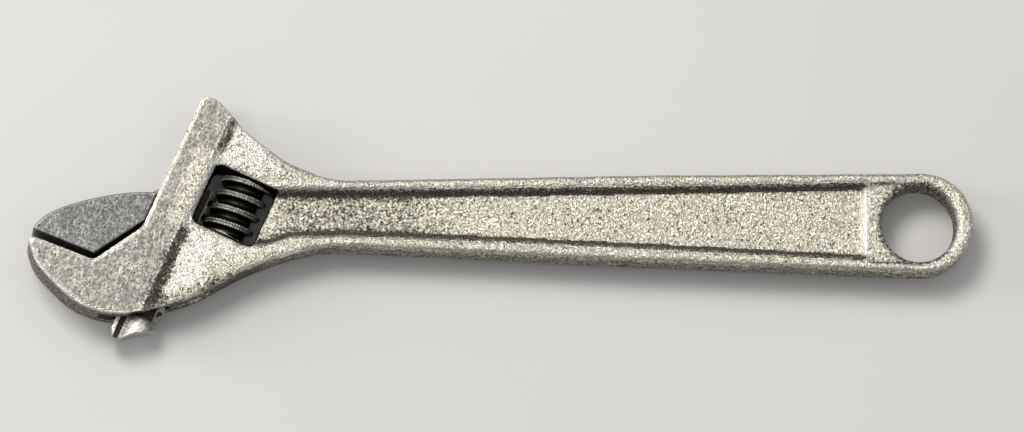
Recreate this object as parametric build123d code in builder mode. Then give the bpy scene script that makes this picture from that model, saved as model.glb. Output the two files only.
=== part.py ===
"""Four-inch adjustable wrench: forged body, movable jaw with its rack, worm, screw pin and spring.

All sizes are in millimetres. The origin is the middle of the hang hole on the wrench's middle
plane, +X runs along the handle away from the head, and +Z is the face of the wrench.
"""

import math
import os

from build123d import *

os.makedirs("parts", exist_ok=True)

# Head direction: the movable jaw slides along this line in the middle plane.
slide_angle = 66.0
throat_x = -90.61
throat_y = -1.89

# Thicknesses, each as half of the whole.
pad_half = 3.9
shank_half = 3.4
neck_half = 3.0
handle_half = 2.9
recess_floor = 1.7

# Hang hole.
hang_r = 4.4
hang_chamfer = 0.5
ring_flat = 2.6

# Jaw rail: a round rack on a flat web, sliding in a bore with a slot to the throat.
rail_p = 4.5
rail_r = 2.0
rail_clearance = 0.06
web_half = 1.3
web_low = 1.6
throat_slot_low = -1.5
rail_top = 7.5
rail_low = -12.7
jaw_gap_to_throat = 0.05

# Worm and the window it sits in, placed across (p) and along (s) the head.
worm_p = 9.0
worm_s = 6.85
worm_length = 6.9
worm_r = 3.0
worm_root_r = 2.25
worm_bore_r = 1.2
pitch = 1.8
thread_crest = 0.55
thread_root = 1.05
thread_start = 6.9
spring_seat_r = 1.9
spring_seat_depth = 2.6
window_p_low = 4.9
window_p_high = 12.5
window_s_low = 3.2
window_s_high = 10.5

# Screw pin: a plain shaft with a slotted, threaded end pressed in the body.
pin_r = 1.15
pin_end_r = 1.5
pin_low = -2.7
pin_shoulder = -0.5
pin_top = 12.6

# Spring in the worm's counterbore.
spring_r = 1.6
spring_wire_r = 0.19
spring_pitch = 0.7

along = Vector(math.cos(math.radians(slide_angle)), math.sin(math.radians(slide_angle)), 0)
across = Vector(along.Y, -along.X, 0)
throat = Vector(throat_x, throat_y, 0)

# Sketch on this plane to draw in head directions: local x goes across, local y along the slide.
head_plane = Plane(origin=throat, x_dir=across, z_dir=(0, 0, 1))


def station(p, s):
    """Plane square to the slide, at p across and s along; local y is the wrench's thickness."""
    return Plane(origin=throat + across * p + along * s, x_dir=across, z_dir=-along)


# Forged body: thick ground pad at the jaw, sloped shank, thin handle with a recess on each face.
with BuildPart() as wrench_body:
    with BuildSketch(Plane.XZ):
        Polygon(
            (-110, shank_half),
            (-79.2, shank_half),
            (-68, neck_half),
            (-50, handle_half),
            (10, handle_half),
            (10, -handle_half),
            (-50, -handle_half),
            (-68, -neck_half),
            (-79.2, -shank_half),
            (-110, -shank_half),
            align=None,
        )
    extrude(amount=20, both=True)
    with BuildSketch(station(0, 20)):
        Polygon(
            (-15, pad_half),
            (3.85, pad_half),
            (4.9, shank_half),
            (4.9, -shank_half),
            (3.85, -pad_half),
            (-15, -pad_half),
            align=None,
        )
    extrude(amount=40)
    with BuildSketch(Plane.XY):
        with BuildLine():
            tip = throat + along * 16.4
            Line((throat_x, throat_y), (tip.X, tip.Y))
            Spline(
                (tip.X, tip.Y),
                (-82.98, 13.5),
                (-82.1, 13.15),
                (-81.2, 12.4),
                tangents=[(0.4, 0.9), (0.6, -0.7)],
            )
            Spline(
                (-81.2, 12.4),
                (-79.75, 10.85),
                (-77.9, 9.15),
                (-75.6, 7.3),
                (-73.3, 5.9),
                (-71.05, 4.95),
                (-68.83, 4.25),
                (-66.5, 4.1),
                tangents=[(0.6, -0.7), (1, 0.02)],
            )
            Line((-66.5, 4.1), (-31.5, 5.28))
            Line((-31.5, 5.28), (0, 5.98))
            ThreePointArc((0, 5.98), (6.34, 0.12), (0, -5.74))
            Line((0, -5.74), (-37.2, -4.78))
            Line((-37.2, -4.78), (-66.5, -3.75))
            Spline(
                (-66.5, -3.75),
                (-68.7, -3.8),
                (-71.0, -4.2),
                (-74.4, -5.15),
                (-77.8, -6.45),
                (-81.3, -8.3),
                (-84.85, -10.15),
                (-88.3, -11.2),
                (-91.75, -12.05),
                tangents=[(-1, 0.0), (-1, -0.2)],
            )
            Spline(
                (-91.75, -12.05),
                (-94.09, -12.12),
                (-96.55, -11.6),
                (-98.79, -10.42),
                (-101.22, -8.2),
                (-103.04, -5.87),
                (-103.6, -4.2),
                (-103.46, -3.07),
                tangents=[(-1, -0.2), (0.6, 1)],
            )
            Line((-103.46, -3.07), (-96.19, -5.81))
            Line((-96.19, -5.81), (throat_x, throat_y))
        make_face()
    extrude(amount=6, both=True, mode=Mode.INTERSECT)

    # The recess on each face of the handle, with sloped walls and a ramp at the hang hole.
    for face in (1, -1):
        with BuildSketch(Plane.XY.offset(face * recess_floor)):
            Polygon(
                (-79.5, 2.2),
                (-72.3, 2.25),
                (-49.0, 2.75),
                (-25.7, 3.45),
                (-6.9, 4.1),
                (-6.9, -3.75),
                (-25.6, -3.05),
                (-48.9, -2.3),
                (-66.4, -1.9),
                (-73.0, -2.1),
                (-75.6, -3.1),
                (-79.5, -3.1),
                align=None,
            )
        with BuildSketch(Plane.XY.offset(face * (recess_floor + 1.8))):
            Polygon(
                (-79.5, 3.1),
                (-72.3, 3.15),
                (-49.0, 3.65),
                (-25.7, 4.35),
                (-5.3, 5.05),
                (-5.3, -4.7),
                (-25.6, -3.92),
                (-48.9, -3.15),
                (-66.4, -2.75),
                (-73.6, -2.95),
                (-76.2, -3.9),
                (-79.5, -3.9),
                align=None,
            )
        loft(ruled=True, mode=Mode.SUBTRACT)

    # Shallow flat between the ramp and the hang hole, a little lower than the rims.
    for face in (1, -1):
        with BuildSketch(Plane.XY.offset(face * ring_flat)):
            with Locations((-3.3, 0)):
                Rectangle(5.4, 9.35)
        extrude(amount=face, mode=Mode.SUBTRACT)

    # Window for the worm, right through the head.
    with BuildSketch(head_plane):
        with Locations(((window_p_low + window_p_high) / 2, (window_s_low + window_s_high) / 2)):
            RectangleRounded(window_p_high - window_p_low, window_s_high - window_s_low, 0.8)
    extrude(amount=6, both=True, mode=Mode.SUBTRACT)

    # Bore for the round rack, with a slot for the web that opens into the throat at its top.
    slot_low = web_low - rail_clearance
    with BuildSketch(station(0, 20)):
        with Locations((rail_p, 0)):
            Circle(rail_r + rail_clearance)
        with Locations(((slot_low + rail_p) / 2, 0)):
            Rectangle(rail_p - slot_low, 2 * (web_half + rail_clearance))
    extrude(amount=40, mode=Mode.SUBTRACT)
    with BuildSketch(station(0, 20)):
        with Locations((rail_p / 2 - 0.15, 0)):
            Rectangle(rail_p + 0.3, 2 * (web_half + rail_clearance))
    extrude(amount=20 - throat_slot_low, mode=Mode.SUBTRACT)

    # Stepped hole for the screw pin.
    with BuildSketch(station(worm_p, pin_top + 0.1)):
        Circle(pin_r + 0.02)
    extrude(amount=20, mode=Mode.SUBTRACT)
    with BuildSketch(station(worm_p, pin_shoulder)):
        Circle(pin_end_r - 0.01)
    extrude(amount=10, mode=Mode.SUBTRACT)

    # Hang hole with a chamfered rim on each face.
    with BuildSketch(Plane.XY):
        Circle(hang_r)
    extrude(amount=6, both=True, mode=Mode.SUBTRACT)
    for face in (1, -1):
        with BuildSketch(Plane.XY.offset(face * (handle_half - hang_chamfer))):
            Circle(hang_r)
        with BuildSketch(Plane.XY.offset(face * (handle_half + 0.1))):
            Circle(hang_r + hang_chamfer + 0.1)
        loft(mode=Mode.SUBTRACT)

wrench_body.part.label = "wrench_body"
export_step(wrench_body.part, "parts/wrench_body.step")


# Movable jaw: hooked head, flat web and round rack cut with inclined grooves for the worm.
with BuildPart() as movable_jaw:
    with BuildSketch(head_plane):
        with BuildLine():
            Line((-11.38, -5.58), (-3.78, -5.21))
            Line((-3.78, -5.21), (-jaw_gap_to_throat, 0.75))
            Line((-jaw_gap_to_throat, 0.75), (-jaw_gap_to_throat, 4.36))
            Spline(
                (-jaw_gap_to_throat, 4.36),
                (-1.9, 3.53),
                (-4.88, 1.76),
                (-7.76, -0.44),
                (-9.55, -2.12),
                (-10.8, -3.75),
                (-11.38, -5.58),
            )
        make_face()
    extrude(amount=pad_half, both=True)
    with BuildSketch(head_plane):
        Polygon(
            (-1.5, 1.0),
            (-jaw_gap_to_throat, 1.0),
            (web_low, -0.8),
            (web_low, -15),
            (rail_p, -15),
            (rail_p, rail_top),
            (web_low, rail_top),
            (0.6, 6.2),
            (-1.5, 3.4),
            align=None,
        )
    extrude(amount=web_half, both=True)
    with BuildSketch(station(rail_p, rail_top)):
        Circle(rail_r)
    extrude(amount=22)
    with BuildSketch(head_plane):
        Polygon(
            (-4, -17),
            (8, -17),
            (8, -9.4),
            (6.2, -10.4),
            (4.3, -11.5),
            (3.1, rail_low),
            (2.2, rail_low - 0.2),
            (1.5, rail_low + 1.1),
            (-4, rail_low + 1.1),
            align=None,
        )
    extrude(amount=5, both=True, mode=Mode.SUBTRACT)
    lead_angle = math.atan(pitch / (2 * math.pi * 2.75))
    leaning = Vector(0, 0, 1) * math.cos(lead_angle) + along * math.sin(lead_angle)
    for groove in range(10):
        middle = throat + along * (thread_start + pitch / 2 - groove * pitch)
        with BuildSketch(Plane(origin=middle, x_dir=across, z_dir=leaning)):
            Polygon((5.75, -0.38), (7.2, -0.85), (7.2, 0.85), (5.75, 0.38), align=None)
        extrude(amount=3, both=True, mode=Mode.SUBTRACT)

movable_jaw.part.label = "movable_jaw"
export_step(movable_jaw.part, "parts/movable_jaw.step")


# Worm: right-hand thread on a bored core, with a counterbore for the spring in its upper end.
worm_low = worm_s - worm_length / 2
worm_high = worm_s + worm_length / 2
helix_turns = 6
helix_low = thread_start - 3 * pitch
thread_seat = Plane(
    origin=throat + across * worm_p + along * helix_low, x_dir=across, z_dir=along
)
with BuildPart() as worm:
    with BuildPart(mode=Mode.PRIVATE) as thread:
        with BuildLine() as thread_path:
            Helix(pitch, helix_turns * pitch, worm_root_r)
        with BuildSketch(Plane.XZ):
            Polygon(
                (worm_root_r - 0.1, -thread_root / 2 - 0.033),
                (worm_r, -thread_crest / 2),
                (worm_r, thread_crest / 2),
                (worm_root_r - 0.1, thread_root / 2 + 0.033),
                align=None,
            )
        sweep(path=thread_path.line, is_frenet=True)
    add(thread_seat.location * thread.part)
    with BuildSketch(station(worm_p, worm_high)):
        Circle(worm_r + 1)
    extrude(amount=worm_length, mode=Mode.INTERSECT)
    with BuildSketch(station(worm_p, worm_high)):
        Circle(worm_root_r)
    extrude(amount=worm_length)
    with BuildSketch(station(worm_p, worm_high + 1)):
        Circle(worm_bore_r)
    extrude(amount=worm_length + 2, mode=Mode.SUBTRACT)
    with BuildSketch(station(worm_p, worm_high)):
        Circle(spring_seat_r)
    extrude(amount=spring_seat_depth, mode=Mode.SUBTRACT)

worm.part.label = "worm"
export_step(worm.part, "parts/worm.step")


# Screw pin: plain shaft through the worm, threaded end with a screwdriver slot.
with BuildPart() as worm_pin:
    with BuildSketch(station(worm_p, pin_top)):
        Circle(pin_r)
    extrude(amount=pin_top - pin_shoulder)
    with BuildSketch(station(worm_p, pin_shoulder)):
        Circle(pin_end_r)
    extrude(amount=pin_shoulder - pin_low)
    with BuildSketch(station(worm_p, pin_low)):
        Rectangle(2 * pin_end_r + 1, 0.55)
    extrude(amount=-0.8, mode=Mode.SUBTRACT)

worm_pin.part.label = "worm_pin"
export_step(worm_pin.part, "parts/worm_pin.step")


# Spring: a short coil round the pin, between the worm's counterbore and the window's wall.
spring_low = worm_high - spring_seat_depth + 0.02
spring_high = window_s_high - 0.02
spring_seat = Plane(
    origin=throat + across * worm_p + along * (spring_low + spring_wire_r - spring_pitch / 4),
    x_dir=across,
    z_dir=along,
)
spring_height = spring_high - spring_low - 2 * spring_wire_r + spring_pitch / 2
with BuildPart() as worm_spring:
    with BuildPart(mode=Mode.PRIVATE) as coil:
        with BuildLine() as coil_path:
            Helix(spring_pitch, spring_height, spring_r)
        with BuildSketch(Plane.XZ):
            with Locations((spring_r, 0)):
                Circle(spring_wire_r)
        sweep(path=coil_path.line, is_frenet=True)
    add(spring_seat.location * coil.part)
    with BuildSketch(station(worm_p, spring_high)):
        Circle(spring_r + 1)
    extrude(amount=spring_high - spring_low, mode=Mode.INTERSECT)

worm_spring.part.label = "worm_spring"
export_step(worm_spring.part, "parts/worm_spring.step")
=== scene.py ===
import math

import bmesh
import bpy
from mathutils import Matrix, Vector, noise


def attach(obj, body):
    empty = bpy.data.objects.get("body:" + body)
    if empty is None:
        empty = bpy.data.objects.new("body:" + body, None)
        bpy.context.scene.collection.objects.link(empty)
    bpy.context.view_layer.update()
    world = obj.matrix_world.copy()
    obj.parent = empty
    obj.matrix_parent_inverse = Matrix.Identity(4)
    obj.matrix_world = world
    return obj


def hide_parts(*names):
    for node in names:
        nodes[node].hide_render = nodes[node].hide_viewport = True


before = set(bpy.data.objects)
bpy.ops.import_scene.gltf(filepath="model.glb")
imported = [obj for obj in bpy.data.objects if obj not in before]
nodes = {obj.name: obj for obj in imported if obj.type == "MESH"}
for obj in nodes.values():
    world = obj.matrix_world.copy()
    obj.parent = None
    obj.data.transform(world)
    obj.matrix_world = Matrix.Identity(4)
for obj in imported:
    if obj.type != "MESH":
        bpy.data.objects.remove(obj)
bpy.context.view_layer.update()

# Wrench body: one drop forging in carbon steel with the fixed jaw, shank, handle and ring.
# The forged skin is left grainy under dull nickel, and both faces of the head are ground flat.
# The copy of the frame's solid is remeshed fine, rounded like a forging, and its ground faces trued.

# Pieces are worked on in millimetres and finished in metres. On the head a point is placed by p, how
# far it lies across from the throat's wall, and by s, how far along the slide.
mm_per_metre = 1000
slide_angle = math.radians(66.0)
along = Vector((math.cos(slide_angle), math.sin(slide_angle), 0))
across = Vector((along.y, -along.x, 0))
throat = Vector((-90.61, -1.89, 0))
ground_half = 3.9
ground_width = 3.75
rail_p = 4.5
rail_r = 2.0
web_half = 1.3
window_p = (4.9, 12.5)
window_s = (3.2, 10.5)
recess_floor = 1.7
rim_half = 2.9
handle_start = -72
hole_r = 4.4
bore_ease = 0.13
# The dirt mark holds real grime and oil together with painted shade. The hollow mark also takes painted
# highlights as extra proudness.
wear_and_shade_marks = ("hollow", "ground", "dirt_and_shade")


def head_place(spot):
    """How far a point is across from the throat wall, and how far along the slide, in mm."""
    reach = spot - throat
    return reach.dot(across), reach.dot(along)


def remeshed_copy(node, cell):
    """A merged, finely remeshed copy of a frame solid, as a bmesh in millimetres."""
    shell = bmesh.new()
    shell.from_mesh(nodes[node].data)
    bmesh.ops.remove_doubles(shell, verts=shell.verts, dist=1e-6)
    bmesh.ops.scale(shell, vec=(mm_per_metre,) * 3, verts=shell.verts)
    mesh = bpy.data.meshes.new(node + "_blank")
    shell.to_mesh(mesh)
    shell.free()
    blank = bpy.data.objects.new(node + "_blank", mesh)
    bpy.context.scene.collection.objects.link(blank)
    remesh = blank.modifiers.new("fine", "REMESH")
    remesh.mode = "VOXEL"
    remesh.voxel_size = cell
    view = bpy.context.evaluated_depsgraph_get()
    fine = bpy.data.meshes.new_from_object(blank.evaluated_get(view))
    shell = bmesh.new()
    shell.from_mesh(fine)
    bpy.data.objects.remove(blank)
    bpy.data.meshes.remove(mesh)
    bpy.data.meshes.remove(fine)
    for mark in wear_and_shade_marks:
        shell.verts.layers.float.new(mark)
    return shell


def soften(shell, verts, rounds):
    """Rounds edges and corners a little with each round."""
    for _ in range(rounds):
        bmesh.ops.smooth_vert(
            shell, verts=verts, factor=0.5, use_axis_x=True, use_axis_y=True, use_axis_z=True
        )
    shell.normal_update()


def rub_down(shell, verts, rounds):
    """Rounds what stands proud, as tumbling does, and leaves the hollows as sharp as they were."""
    for _ in range(rounds):
        was = [(vert.co.copy(), vert.normal.copy()) for vert in verts]
        soften(shell, verts, rounds=1)
        for vert, (place, normal) in zip(verts, was):
            lift = (vert.co - place).dot(normal)
            if lift > 0:
                vert.co -= normal * lift


def true_face(verts, base, normal, reach, facing=0.9):
    """Grinds the points within reach of a plane flat onto it, where they face its way."""
    for vert in verts:
        off = (vert.co - base).dot(normal)
        if abs(off) < reach and vert.normal.dot(normal) > facing:
            vert.co -= normal * off


def true_both_sides(verts, reach):
    """Grinds the head's front and back faces flat."""
    for side in (1, -1):
        true_face(verts, Vector((0, 0, side * ground_half)), Vector((0, 0, side)), reach)


def mark_wear(shell, rounds, full):
    """Stores how sunken (above 0) or proud (below 0) each point is. A depth of full counts as 1."""
    hollow = shell.verts.layers.float["hollow"]
    places = [vert.co.copy() for vert in shell.verts]
    facing = [vert.normal.copy() for vert in shell.verts]
    soften(shell, shell.verts, rounds)
    for vert, place, normal in zip(shell.verts, places, facing):
        vert[hollow] = (vert.co - place).dot(normal) / full
        vert.co = place


def finished(shell, name, body, stands_for, material):
    """Turns the bmesh into the finished piece in metres and ties it to the frame."""
    bmesh.ops.scale(shell, vec=(1 / mm_per_metre,) * 3, verts=shell.verts)
    mesh = bpy.data.meshes.new(name)
    shell.to_mesh(mesh)
    shell.free()
    mesh.polygons.foreach_set("use_smooth", [True] * len(mesh.polygons))
    piece = bpy.data.objects.new(name, mesh)
    bpy.context.scene.collection.objects.link(piece)
    piece.data.materials.append(material)
    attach(piece, body)
    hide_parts(stands_for)


def new_material(name):
    material = bpy.data.materials.new(name)
    material.use_nodes = True
    tree = material.node_tree
    return material, tree, tree.nodes["Principled BSDF"]


def put(tree, kind, **settings):
    """Adds a node. in_0 or in_Scale fills or links that input; other settings are the node's own."""
    node = tree.nodes.new(kind)
    for key, value in settings.items():
        label = key[3:]
        if not key.startswith("in_"):
            setattr(node, key, value)
        elif isinstance(value, bpy.types.NodeSocket):
            tree.links.new(value, node.inputs[int(label) if label.isdigit() else label])
        else:
            node.inputs[int(label) if label.isdigit() else label].default_value = value
    return node


def math_node(tree, operation, a, b, c=0.0):
    return put(tree, "ShaderNodeMath", operation=operation, in_0=a, in_1=b, in_2=c).outputs[0]


def ramp(tree, value, low, high):
    """0 below low, 1 above high, and a straight run between."""
    return put(tree, "ShaderNodeMapRange", clamp=True, in_0=value, in_1=low, in_2=high).outputs[0]


def mix_colour(tree, factor, a, b):
    node = put(tree, "ShaderNodeMix", data_type="RGBA", in_0=factor, in_6=a, in_7=b)
    return node.outputs[2]


def mix_value(tree, factor, a, b):
    return put(tree, "ShaderNodeMix", data_type="FLOAT", in_0=factor, in_2=a, in_3=b).outputs[0]


def tint(tree, under, mask, share, over):
    """Lays a colour over another where the mask says, at a share of its full strength."""
    return mix_colour(tree, math_node(tree, "MULTIPLY", mask, share), under, over)


def darker(colour, share):
    """The colour at a share of its strength. A share above 1 makes it lighter."""
    return tuple(min(1.0, part * share) for part in colour[:3]) + (1,)


def millimetres(tree):
    """Object coordinates in millimetres."""
    place = put(tree, "ShaderNodeTexCoord").outputs["Object"]
    return put(tree, "ShaderNodeMapping", in_Vector=place, in_Scale=(mm_per_metre,) * 3).outputs[0]


def stored(tree, mark):
    """A mark stored on the mesh's points."""
    return put(tree, "ShaderNodeAttribute", attribute_name=mark).outputs["Fac"]


def noise_of(tree, vector, scale, detail=2.0, roughness=0.5, distortion=0.0):
    node = put(
        tree, "ShaderNodeTexNoise", in_Vector=vector, in_Scale=scale, in_Detail=detail,
        in_Roughness=roughness, in_Distortion=distortion,
    )
    return node.outputs[0]


def add_bump(tree, shader, height, strength, depth):
    """Gives the surface fine relief, with its depth in metres."""
    bump = put(tree, "ShaderNodeBump", in_Height=height, in_Strength=strength, in_Distance=depth)
    tree.links.new(bump.outputs[0], shader.inputs["Normal"])


def new_group(name, inputs, outputs):
    group = bpy.data.node_groups.new(name, "ShaderNodeTree")
    for label, kind in inputs:
        group.interface.new_socket(label, in_out="INPUT", socket_type=kind)
    for label in outputs:
        group.interface.new_socket(label, in_out="OUTPUT", socket_type="NodeSocketFloat")
    given = group.nodes.new("NodeGroupInput").outputs
    gives = group.nodes.new("NodeGroupOutput").inputs
    return group, given, gives


# Forged grain: fine bright and dark grains a third of a millimetre across, with deeper pits.
forged_grain, given, gives = new_group(
    "forged_grain",
    [("Place", "NodeSocketVector"), ("Grain", "NodeSocketFloat")],
    ["Height", "Speckle", "Pits"],
)
coarse_share = 0.37
pit_share = 0.6
place, grain = given["Place"], given["Grain"]
coarse_grain = math_node(forged_grain, "MULTIPLY", grain, coarse_share)
pit_grain = math_node(forged_grain, "MULTIPLY", grain, pit_share)
fine = noise_of(forged_grain, place, grain, detail=3.0, roughness=0.65, distortion=0.4)
coarse = noise_of(forged_grain, place, coarse_grain)
cells = put(forged_grain, "ShaderNodeTexVoronoi", in_Vector=place, in_Scale=grain).outputs[0]
pit_noise = noise_of(forged_grain, place, pit_grain, roughness=0.6, distortion=0.3)
pits = ramp(forged_grain, pit_noise, 0.62, 0.72)
height = fine
for part, share in ((coarse, 0.8), (cells, -0.35), (pits, -0.5)):
    height = math_node(forged_grain, "MULTIPLY_ADD", part, share, height)
forged_grain.links.new(height, gives["Height"])
forged_grain.links.new(ramp(forged_grain, fine, 0.36, 0.64), gives["Speckle"])
forged_grain.links.new(pits, gives["Pits"])

# Grinding scratches: faint fine lines along the slide, and a few short deep ones close to it.
# Each set is noise turned by an angle and drawn out along it.
grinding, given, gives = new_group(
    "grinding_scratches",
    [("Place", "NodeSocketVector"), ("Turn", "NodeSocketFloat")],
    ["Height", "Marks", "Glints"],
)
scratch_sets = {
    "faint": (0.0, 0.22, 6.0),
    "deep": (0.12, 0.16, 3.0),
    "glint": (-0.25, 0.2, 3.4),
    "stray": (0.9, 0.1, 2.2),
}
lines = {}
for kind, (turn, squeeze, scale) in scratch_sets.items():
    angle = math_node(grinding, "ADD", given["Turn"], turn)
    spun = put(grinding, "ShaderNodeVectorRotate", in_Vector=given["Place"], in_Angle=angle).outputs[0]
    drawn = put(grinding, "ShaderNodeMapping", in_Vector=spun, in_Scale=(squeeze, 1, 1)).outputs[0]
    lines[kind] = noise_of(grinding, drawn, scale, detail=1.0)
sites = ramp(grinding, noise_of(grinding, given["Place"], 0.3, detail=1.0), 0.5, 0.62)
deep_lines = ramp(grinding, lines["deep"], 0.62, 0.67)
stray_lines = ramp(grinding, lines["stray"], 0.74, 0.78)
marks = math_node(grinding, "MULTIPLY", math_node(grinding, "MAXIMUM", deep_lines, stray_lines), sites)
height = math_node(grinding, "MULTIPLY_ADD", marks, -0.8, lines["faint"])
grinding.links.new(height, gives["Height"])
grinding.links.new(marks, gives["Marks"])
grinding.links.new(ramp(grinding, lines["glint"], 0.64, 0.72), gives["Glints"])

# Grime and oil colours, also laid as painted shade in corners, recesses and on walls turned from the
# light. The rubbed colour also paints highlights.
grime_and_shade_colour = (0.1, 0.09, 0.068, 1)
oil_and_shade_colour = (0.006, 0.0055, 0.005, 1)
rubbed_and_lit_colour = (0.9, 0.88, 0.82, 1)


def steel_look(name, forged_colour, ground_colour):
    """Worn plated steel: grainy where forged, scratched where ground, grimy where sunken or dirty, with
    painted shade where sunken or turned from the light and painted highlights where marked lit.
    """
    grain = 3.6
    finer_grain = 3.42
    forged_roughness = (0.55, 0.4)
    ground_roughness = 0.44
    material, tree, shader = new_material(name)
    place = millimetres(tree)
    hollow, ground, dirt_and_shade = (stored(tree, mark) for mark in wear_and_shade_marks)
    skin = put(tree, "ShaderNodeGroup", node_tree=forged_grain, in_Place=place, in_Grain=grain).outputs
    finer = put(
        tree, "ShaderNodeGroup", node_tree=forged_grain, in_Place=place, in_Grain=finer_grain
    ).outputs
    cut = put(tree, "ShaderNodeGroup", node_tree=grinding, in_Place=place, in_Turn=-slide_angle).outputs
    speckle = skin["Speckle"]
    worn = ramp(tree, noise_of(tree, place, 0.3, detail=3.0, roughness=0.6), 0.38, 0.62)
    clouds = ramp(tree, noise_of(tree, place, 1.1, detail=4.0, roughness=0.65), 0.35, 0.65)
    blotches = noise_of(tree, place, 2.2, detail=4.0, roughness=0.7)

    # The forged skin, the ground metal, and the pits in both.
    forged = mix_colour(tree, speckle, darker(forged_colour, 0.22), forged_colour)
    forged = tint(tree, forged, clouds, 0.4, darker(forged_colour, 0.42))
    forged = tint(tree, forged, worn, 0.2, darker(forged_colour, 0.5))
    bare = mix_colour(tree, finer["Speckle"], darker(ground_colour, 0.12), darker(ground_colour, 2.0))
    bare = tint(tree, bare, ramp(tree, cut["Height"], 0.42, 0.6), 0.2, darker(ground_colour, 1.35))
    bare = tint(tree, bare, clouds, 0.75, darker(ground_colour, 0.45))
    bare = tint(tree, bare, cut["Glints"], 0.6, darker(ground_colour, 2.0))
    bare = tint(tree, bare, worn, 0.3, darker(ground_colour, 0.7))
    bare = tint(tree, bare, cut["Marks"], 0.85, grime_and_shade_colour)
    colour = mix_colour(tree, ground, forged, bare)
    colour = tint(tree, colour, skin["Pits"], mix_value(tree, ground, 0.85, 0.5), grime_and_shade_colour)

    # Polish and painted highlights on what stands proud, grime and painted shade in what is sunken,
    # dirty or marked shaded, and oil black with painted deep shade in the darkest places.
    proud = math_node(tree, "MULTIPLY", hollow, -1.0)
    edge_polish = mix_value(tree, ground, 0.5, 0.25)
    polish_and_highlight = math_node(tree, "MULTIPLY", ramp(tree, proud, 0.2, 1.0), edge_polish)
    polish_and_highlight = math_node(tree, "MULTIPLY_ADD", ramp(tree, proud, 1.4, 2.4), 0.55, polish_and_highlight)
    colour = mix_colour(tree, polish_and_highlight, colour, rubbed_and_lit_colour)
    lodged_and_shaded = math_node(tree, "MULTIPLY_ADD", hollow, 0.7, dirt_and_shade)
    lodged_and_shaded = math_node(tree, "MULTIPLY_ADD", math_node(tree, "SUBTRACT", blotches, 0.5), 1.6, lodged_and_shaded)
    lodged_and_shaded = math_node(tree, "MULTIPLY_ADD", speckle, -0.35, lodged_and_shaded)
    grimy_and_shaded = ramp(tree, lodged_and_shaded, 0.25, 0.75)
    oily_and_shaded = ramp(tree, dirt_and_shade, 1.15, 1.5)
    mottled = mix_colour(tree, speckle, darker(grime_and_shade_colour, 0.2), darker(grime_and_shade_colour, 1.4))
    colour = mix_colour(tree, grimy_and_shaded, colour, mottled)
    colour = mix_colour(tree, oily_and_shaded, colour, oil_and_shade_colour)
    tree.links.new(colour, shader.inputs["Base Color"])

    # Roughness, metal and relief: clean, then grimy and shaded, then oily and deep in shade.
    rough = mix_value(tree, ground, mix_value(tree, speckle, *forged_roughness), ground_roughness)
    rough = mix_value(tree, grimy_and_shaded, rough, 0.75)
    tree.links.new(mix_value(tree, oily_and_shaded, rough, 0.6), shader.inputs["Roughness"])
    metal = mix_value(tree, grimy_and_shaded, 1.0, 0.45)
    tree.links.new(mix_value(tree, oily_and_shaded, metal, 1.0), shader.inputs["Metallic"])
    lift = math_node(tree, "MULTIPLY", skin["Height"], mix_value(tree, ground, 1.0, 0.12))
    scratch = math_node(tree, "MULTIPLY", cut["Height"], mix_value(tree, ground, 0.0, 0.07))
    add_bump(tree, shader, math_node(tree, "ADD", lift, scratch), strength=0.8, depth=0.0002)
    return material


def band(value, low, high, fade):
    """1 between low and high, fading to 0 over the last bit outside them."""
    return max(0.0, min(1.0, (value - low) / fade + 1, (high - value) / fade + 1))


def turned_aside(lie, start, run):
    """1 for a surface on its side, falling to 0 as it turns to lie flat."""
    return 1 - min(1, max(0, (lie - start) / run))


def pad_marks(p, s, high, side_on, ragged):
    """The ground face of the head: bare, pebbled beside the window, with painted shade on its side
    walls and along its edge at the step below the window.
    """
    on_face = 1.0 if abs(high - ground_half) < 0.02 else 0.0
    pebbled = band(p, 3.4, 5, fade=1.5) * band(s, 3.5, 10, fade=2.0)
    step_edge_shade = band(p, 3.5, 5, fade=0.7) * band(s, -20, 1.6, fade=1.2) * (0.6 + ragged)
    return 0.88 * side_on + step_edge_shade, on_face * (1 - 0.8 * pebbled), 0.0


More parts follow.
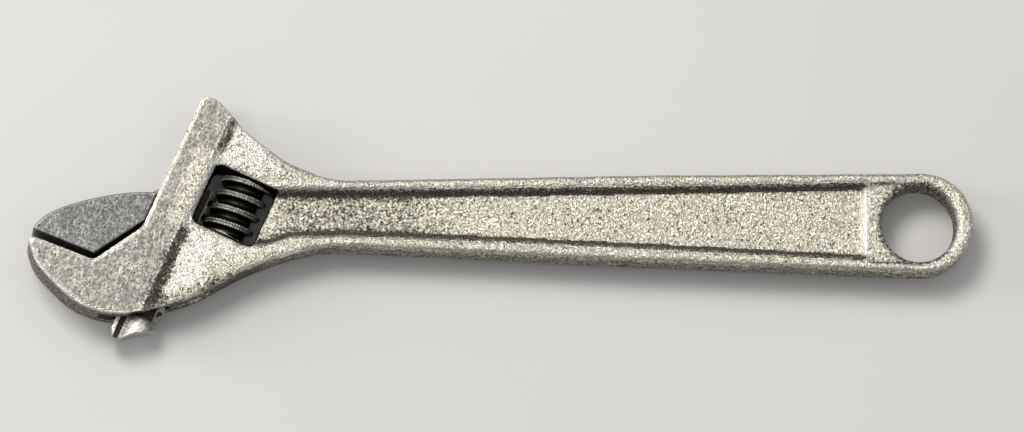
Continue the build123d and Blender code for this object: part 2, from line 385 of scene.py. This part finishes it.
def body_marks(vert):
    """Dirt with painted shade, bare ground metal, and rubbing with painted highlights at a point. The
    first is 1 for full grime and painted shade, and 1.6 for oil black with painted deep shade.
    """
    p, s = head_place(vert.co)
    x, y = vert.co.x, vert.co.y
    lie, high = abs(vert.normal.z), abs(vert.co.z)
    on_top = high > rim_half - 0.3
    side_on = turned_aside(lie, 0.45, 0.5)

    # Oil with painted deep shade on the window's walls and in the rack's bore, and the two ground
    # faces.
    in_window = band(p, *window_p, fade=0.15) * band(s, *window_s, fade=0.15)
    in_slot = -0.4 < p < rail_p and high < web_half + 0.15
    in_bore = in_slot or math.hypot(p - rail_p, vert.co.z) < rail_r + 0.3
    if in_bore or (in_window > 0 and lie < 0.8):
        return 1.6, 0.0, 0.0
    ragged = noise.noise(vert.co * 0.9) * 0.7 + noise.noise(vert.co * 2.6) * 0.35
    mottled = noise.noise(vert.co * 2.0) * 0.6 + noise.noise(vert.co * 4.5) * 0.5
    if p < ground_width + 0.05:
        return pad_marks(p, s, high, side_on, ragged)

    # The handle's recess: black grime and painted shade in its side walls, and a painted highlight on
    # the ramp up to the ring.
    in_recess = vert.normal.y * y < 0 and abs(vert.normal.y) > abs(vert.normal.x)
    if recess_floor < high < rim_half - 0.15 and lie < 0.9 and in_recess:
        return 1.0, 0.0, 0.0
    if recess_floor + 0.1 < high < 2.55 and vert.normal.x < -0.35 and -7.4 < x < -5:
        return 0.0, 0.8, 1.7
    bare = 0.35 * band(high, rim_half - 0.25, 4, fade=0.2) * (handle_start < x < 2)
    # Painted shade on the rims' sloping sides and on side walls turned from the light.
    rim_side = turned_aside(lie, 0.6, 0.37)
    dirt_and_shade = 0.78 * (rim_side if x > handle_start else side_on)

    # Painted shade, broken up like grime, in the step below the ground face. Beside the window the step
    # gets a painted highlight instead, and a painted highlight band lies on the forged face above and
    # below the window.
    beside_window = band(s, 2.6, 11.2, fade=0.8)
    below, above = band(s, -20, 1.4, fade=1.8), band(s, 12, 20, fade=0.8)
    step = band(p, 3.75, 5.15 + 0.35 * below + ragged, fade=0.5)
    dirt_and_shade += step * ((1.0 + 0.4 * ragged) * below + (0.7 + 0.4 * ragged) * above)
    rubbed_and_lit = 0.9 * step * beside_window * (lie > 0.5)
    highlight_band = band(p, 5.8, 8.2, fade=1.2) * (1 - beside_window) * (high > 3)

    # The head's lower edge, the handle's neck and the shank: mottled grime, and worn spots.
    above_edge_line = y + 12.4 - 0.39 * (x + 92)
    lower_edge = band(x, -93, -79, fade=3) * band(above_edge_line, -5, 0.7, fade=0.6)
    neck = band(x, -73, -60, fade=15) * (not on_top) * (lie > 0.6)
    on_shank = band(x, -92, -70, fade=5) * (p > 5.2) * on_top
    dirt_and_shade += (0.55 + 0.6 * ragged + 1.1 * mottled) * lower_edge
    dirt_and_shade += (0.6 + 0.15 * ragged + 0.25 * mottled) * neck
    dirt_and_shade += (0.2 + 0.9 * mottled) * on_shank
    rubbed_and_lit += max(0, 0.9 * noise.noise(vert.co * 0.8 + across) + 0.25) * on_shank

    # The ring: grime and painted shade in the groove beside it and on the left of its hole, and a
    # painted highlight on the hole's right side, toward the end.
    ring_groove = band(abs(y), 4.55, 4.8, fade=0.12) * band(x, -6, -0.8, fade=0.2) * (high > 2.45)
    hole_rim = band(math.hypot(x, y), hole_r, hole_r + 0.6, fade=0.15) * (high > 2.2)
    dirt_and_shade += 0.9 * ring_groove + 0.8 * hole_rim * band(x, -9, 1, fade=2)
    rubbed_and_lit += 0.9 * hole_rim * band(x, 2.5, 9, fade=1.5) * band(y, -3, 3, fade=1)
    return min(1.05, dirt_and_shade), bare, (rubbed_and_lit + 0.8 * highlight_band) * (1 - 0.85 * lower_edge)


def ease_bore(verts):
    """Opens the rack's bore and the web's slot by a hair, as reaming does, so the jaw runs free."""
    eased_r, eased_half = rail_r + bore_ease, web_half + bore_ease
    for vert in verts:
        p, s = head_place(vert.co)
        off_axis, high = math.hypot(p - rail_p, vert.co.z), abs(vert.co.z)
        if p > 2.6 and 1.2 < off_axis < eased_r:
            opened = eased_r / off_axis - 1
            vert.co += across * ((p - rail_p) * opened)
            vert.co.z *= 1 + opened
        elif -0.2 < p < 2.9 and 0.8 < high < eased_half:
            vert.co.z = math.copysign(eased_half, vert.co.z)
        if 1.2 < p < 1.9 and abs(vert.co.z) < web_half + 0.2 and s < -0.8:
            vert.co -= across * bore_ease


blank = remeshed_copy("wrench_body", cell=0.23)
forged_points, pad_points, window_lip = [], [], []
for vert in blank.verts:
    p, s = head_place(vert.co)
    (pad_points if p < ground_width + 1.0 else forged_points).append(vert)
soften(blank, blank.verts, rounds=1)
for vert in pad_points:
    p, s = head_place(vert.co)
    if p > 3.3 and window_s[0] - 0.6 < s < window_s[1] + 0.6:
        window_lip.append(vert)
rub_down(blank, forged_points + window_lip, rounds=14)

# A low bulge at the window's lower corner, and the slight wander of a forged skin.
bulge = throat + across * 4.35 + along * 3.1
bulge_r = 0.8
bulge_rise = 0.3
for vert in forged_points:
    near = math.hypot(vert.co.x - bulge.x, vert.co.y - bulge.y) / bulge_r
    if near < 1 and abs(vert.co.z) > 3:
        vert.co.z += math.copysign(bulge_rise * (1 - near * near) ** 2, vert.co.z)
for vert in forged_points:
    wander = noise.noise(vert.co * 0.35) * 0.03 + noise.noise(vert.co * 1.1) * 0.018
    vert.co += vert.normal * wander
blank.normal_update()
true_both_sides(pad_points, reach=0.08)
true_face(pad_points, throat, -across, reach=0.12)
ease_bore(blank.verts)
blank.normal_update()

mark_wear(blank, rounds=12, full=0.16)
hollow, ground, dirt_and_shade = (blank.verts.layers.float[mark] for mark in wear_and_shade_marks)
# Rubbing and painted highlights are stored as proudness, so they brighten like polish.
for vert in blank.verts:
    vert[dirt_and_shade], vert[ground], rubbed_and_lit = body_marks(vert)
    vert[hollow] -= rubbed_and_lit
body_steel = steel_look("forged nickel steel", (1.0, 0.94, 0.77, 1), (0.215, 0.204, 0.18, 1))
finished(
    blank, "forged_body", body="frame_body", stands_for="wrench_body",
    material=body_steel,
)

# Movable jaw: hooked head, web and round rack forged in one, ground bright on both faces.
# It slides in the body's bore on its round rack, whose inclined grooves the worm turns in.
rack_end = -10.2
blank = remeshed_copy("movable_jaw", cell=0.12)
soften(blank, blank.verts, rounds=1)
true_both_sides(blank.verts, reach=0.06)
blank.normal_update()
mark_wear(blank, rounds=14, full=0.12)
hollow, ground, dirt_and_shade = (blank.verts.layers.float[mark] for mark in wear_and_shade_marks)
for vert in blank.verts:
    p, s = head_place(vert.co)
    high = abs(vert.co.z)
    if p < 0.3:
        vert[ground] = 1.0
        # Painted shade on the jaw's sides, darker the more they turn from facing up.
        vert[dirt_and_shade] = 0.4 * (1 - abs(vert.normal.z))
        continue
    vert[ground] = 0.5
    at_tooth_tip = math.hypot(p - rail_p, vert.co.z) > rail_r - 0.15 and p > 5.6
    # Painted shadow in the corner between web and rack, and oil with painted shade on the rack where it
    # runs in the body.
    in_corner = band(p, 2.1, 2.7, fade=0.2) * band(high, 1.15, 1.65, fade=0.2)
    vert[dirt_and_shade] = 0.0 if at_tooth_tip else 1.4 * max(in_corner, band(s, -9.4, 20, fade=0.5))
    if s < rack_end:
        # A painted highlight on the crown of the rack's exposed end and on the web's end, with the
        # whole end painted a little lighter.
        crown = band(p, 3.6, 5.2, fade=0.6) * (high > web_half)
        vert[hollow] -= 0.3 + 0.9 * max(crown, band(p, 0, 1.9, fade=0.3))
jaw_steel = steel_look("ground jaw steel", (0.85, 0.82, 0.72, 1), (0.135, 0.134, 0.131, 1))
finished(
    blank, "sliding_jaw", body="jaw_body", stands_for="movable_jaw",
    material=jaw_steel,
)

# Worm: the adjusting screw, turned in dark steel with a knurled rim, oily and in painted shade in its
# grooves.
# Thumb and finger have rubbed the knurled crests to grey. It turns on the pin, against its spring,
# whose seat is eased by a hair so that the two don't touch.
worm_middle = throat + across * 9.0 + along * 6.85
knurl_teeth = 56
knurl_depth = 0.06
knurl_r = 2.7
seat_r = 2.05
seat_floor = 0.7
seat_wall_ease = 0.07
seat_floor_ease = 0.08
blank = remeshed_copy("worm", cell=0.08)
soften(blank, blank.verts, rounds=2)
blank.normal_update()
mark_wear(blank, rounds=10, full=0.06)
for vert in blank.verts:
    reach = vert.co - worm_middle
    out = reach - along * reach.dot(along)
    if out.length > knurl_r:
        turn = math.atan2(out.z, out.dot(across))
        dip = 0.5 - 0.5 * math.cos(turn * knurl_teeth)
        vert.co -= out.normalized() * dip * knurl_depth * min(1, (out.length - knurl_r) / 0.2)
    elif out.length < seat_r and reach.dot(along) > seat_floor:
        on_wall = out.length > seat_r - 0.3
        vert.co += out.normalized() * seat_wall_ease if on_wall else -along * seat_floor_ease


def worm_look(name):
    """Black with oil and painted shade in the hollows, grey and speckled where the crests are rubbed.
    """
    material, tree, shader = new_material(name)
    place = millimetres(tree)
    skin = put(tree, "ShaderNodeGroup", node_tree=forged_grain, in_Place=place, in_Grain=4.0).outputs
    proud = ramp(tree, math_node(tree, "MULTIPLY", stored(tree, "hollow"), -1.0), 0.0, 0.6)
    rubbed_and_lit = mix_colour(tree, skin["Speckle"], (0.3, 0.29, 0.26, 1), (0.85, 0.82, 0.74, 1))
    tree.links.new(mix_colour(tree, proud, oil_and_shade_colour, rubbed_and_lit), shader.inputs["Base Color"])
    tree.links.new(mix_value(tree, proud, 0.5, 0.38), shader.inputs["Roughness"])
    shader.inputs["Metallic"].default_value = 1.0
    add_bump(tree, shader, skin["Height"], strength=0.6, depth=0.00008)
    return material


finished(
    blank, "knurled_worm", body="worm_body", stands_for="worm",
    material=worm_look("oily dark steel"),
)


# Screw pin and spring: drawn steel, dull and oily, seen only in the window and at the pin's slot.
# They stay as the frame has them and get their own finish.
def dull_look(name, colour):
    """Dull metal with a fine dark speckle."""
    material, tree, shader = new_material(name)
    place = millimetres(tree)
    skin = put(tree, "ShaderNodeGroup", node_tree=forged_grain, in_Place=place, in_Grain=3.0).outputs
    speckled = mix_colour(tree, skin["Speckle"], darker(colour, 0.45), colour)
    tree.links.new(speckled, shader.inputs["Base Color"])
    tree.links.new(mix_value(tree, skin["Speckle"], 0.5, 0.35), shader.inputs["Roughness"])
    shader.inputs["Metallic"].default_value = 1.0
    add_bump(tree, shader, skin["Height"], strength=0.4, depth=0.00005)
    return material


for node, look in (
    ("worm_pin", dull_look("dull turned steel", (0.16, 0.15, 0.13, 1))),
    ("worm_spring", dull_look("spring wire", (0.26, 0.25, 0.23, 1))),
):
    nodes[node].data.materials.clear()
    nodes[node].data.materials.append(look)

# Floor: a plain pale bench top just under the wrench, faintly uneven in tone.
# It only gives the wrench something to lie on, so it is staged and not part of the object.
bench_half = 1.5
bench_height = -0.00395
floor_mesh = bpy.data.meshes.new("bench")
bench = bmesh.new()
bmesh.ops.create_grid(bench, x_segments=1, y_segments=1, size=bench_half)
bmesh.ops.translate(bench, vec=(-0.048, 0, bench_height), verts=bench.verts)
bench.to_mesh(floor_mesh)
bench.free()
floor = bpy.data.objects.new("bench", floor_mesh)
bpy.context.scene.collection.objects.link(floor)
floor_look, tree, shader = new_material("pale bench")
unevenness = noise_of(tree, millimetres(tree), 0.02, detail=3.0)
tone = mix_colour(tree, unevenness, (0.56, 0.555, 0.54, 1), (0.61, 0.6, 0.585, 1))
tree.links.new(tone, shader.inputs["Base Color"])
shader.inputs["Roughness"].default_value = 0.75
floor_mesh.materials.append(floor_look)

# Lights: a wide soft ceiling, a smaller key from above the head, and a low strip from the left.
# A dim, slightly cool room fills the shadows.
view_centre = Vector((-0.04763, 0.00005, 0.0034))
room_light = 0.25


def light(name, place, size, power, colour=(1, 1, 1)):
    """A rectangular lamp aimed at the middle of the wrench."""
    data = bpy.data.lights.new(name, "AREA")
    data.shape = "RECTANGLE"
    data.size, data.size_y = size
    data.energy = power
    data.color = colour
    lamp = bpy.data.objects.new(name, data)
    lamp.location = Vector(place)
    lamp.rotation_euler = (view_centre - Vector(place)).to_track_quat("-Z", "Y").to_euler()
    bpy.context.scene.collection.objects.link(lamp)


light("ceiling", place=(-0.05, 0.12, 0.8), size=(1.0, 1.0), power=3.3, colour=(1.0, 0.99, 0.97))
light("key", place=(-0.24, 0.22, 0.62), size=(0.22, 0.22), power=2.9, colour=(1.0, 0.98, 0.94))
light("left_strip", place=(-0.5, 0.06, 0.14), size=(0.1, 0.3), power=0.9)
world = bpy.data.worlds.new("soft room")
world.use_nodes = True
background = world.node_tree.nodes["Background"].inputs
background["Color"].default_value = (0.9, 0.93, 1.0, 1)
background["Strength"].default_value = room_light
bpy.context.scene.world = world

# Camera: nearly straight down on the wrench from far off, with a long lens and a slight roll.
# The view is a little wider than the wrench is long.
toward_camera = Vector((-0.073, -0.167, 1.0)).normalized()
camera_far = 1.5
view_width = 0.1189
roll = math.radians(0.21)
sensor_mm = 36
camera_data = bpy.data.cameras.new("camera")
camera_data.sensor_width = sensor_mm
camera_data.lens = sensor_mm * camera_far / view_width
camera_data.clip_end = 10
camera = bpy.data.objects.new("camera", camera_data)
up = Vector((-math.sin(roll), math.cos(roll), 0))
right = up.cross(toward_camera).normalized()
top = toward_camera.cross(right)
turned = Matrix((right, top, toward_camera)).transposed().to_4x4()
camera.matrix_world = Matrix.Translation(view_centre + toward_camera * camera_far) @ turned
bpy.context.scene.collection.objects.link(camera)
bpy.context.scene.camera = camera
bpy.context.scene.view_settings.view_transform = "Standard"
